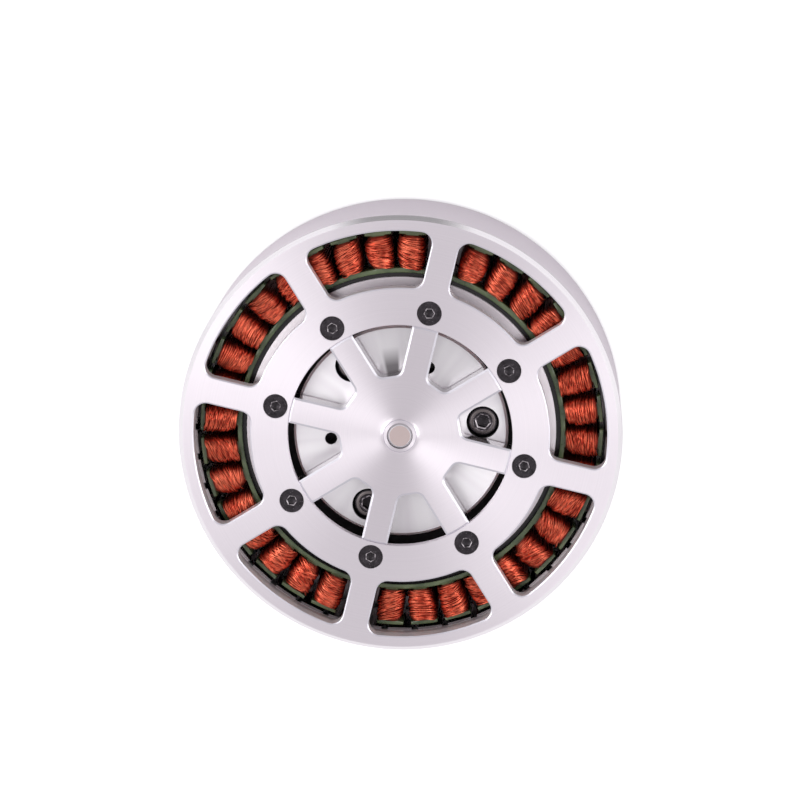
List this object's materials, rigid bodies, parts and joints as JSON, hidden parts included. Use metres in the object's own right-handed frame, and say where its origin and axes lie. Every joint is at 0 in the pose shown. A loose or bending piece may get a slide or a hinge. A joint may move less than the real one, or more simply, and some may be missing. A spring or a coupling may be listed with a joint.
{
  "type": "robot joint actuator",
  "caption": "Flat outrunner joint actuator: a windowed, armed rotor bell turns on a shaft round a ring of wound coils, over a screw-mounted rear plate",
  "frame": {"origin": "on the shaft's axis, in the plane of the rear mounting face", "axes": "+Z along the shaft towards the rotor's face; +X through the middle of one rotor arm and of one stator tooth; +Y completes a right-handed frame"},
  "size_m": [0.1078, 0.1078, 0.033],
  "materials": {
    "machined_aluminium": "turned and polished, with fine circular tool lines",
    "black_oxide_steel": "black oxide, lightly rubbed at the edges",
    "ground_steel": "ground",
    "plain_steel": "plain turned steel",
    "nickel_plated_magnet": "bright nickel plate",
    "green_core_coating": "glossy green insulating coat over steel laminations",
    "enamelled_copper": "reddish enamelled copper wire",
    "grommet_rubber": "matt black rubber",
    "bearing_steel": "ground bearing steel"
  },
  "bodies": {
    "stator": {"base_plate": "machined_aluminium", "bearing_housing": "machined_aluminium", "stator_flange": "machined_aluminium", "core_sleeve": "machined_aluminium", "cap_screws": "black_oxide_steel", "stator_core": "green_core_coating", "coils_phase_a": "enamelled_copper", "coils_phase_b": "enamelled_copper", "coils_phase_c": "enamelled_copper", "lead_grommet": "grommet_rubber", "front_bearing_outer_ring": "bearing_steel", "rear_bearing_outer_ring": "bearing_steel", "preload_washer": "plain_steel", "bore_retaining_ring": "black_oxide_steel"},
    "rotor": {"rotor_bell": "machined_aluminium", "rotor_skirt": "machined_aluminium", "rotor_hub": "machined_aluminium", "face_screws": "black_oxide_steel", "shaft": "ground_steel", "flux_ring": "plain_steel", "magnets_north": "nickel_plated_magnet", "magnets_south": "nickel_plated_magnet", "front_bearing_inner_ring": "bearing_steel", "rear_bearing_inner_ring": "bearing_steel", "bearing_spacer": "plain_steel", "shaft_retaining_ring": "black_oxide_steel"}
  },
  "joints": [
    {"name": "rotor_spin", "type": "hinge", "parent": "stator", "child": "rotor", "pos_m": [0, 0, 0], "axis": [0, 0, 1], "continuous": true}
  ]
}
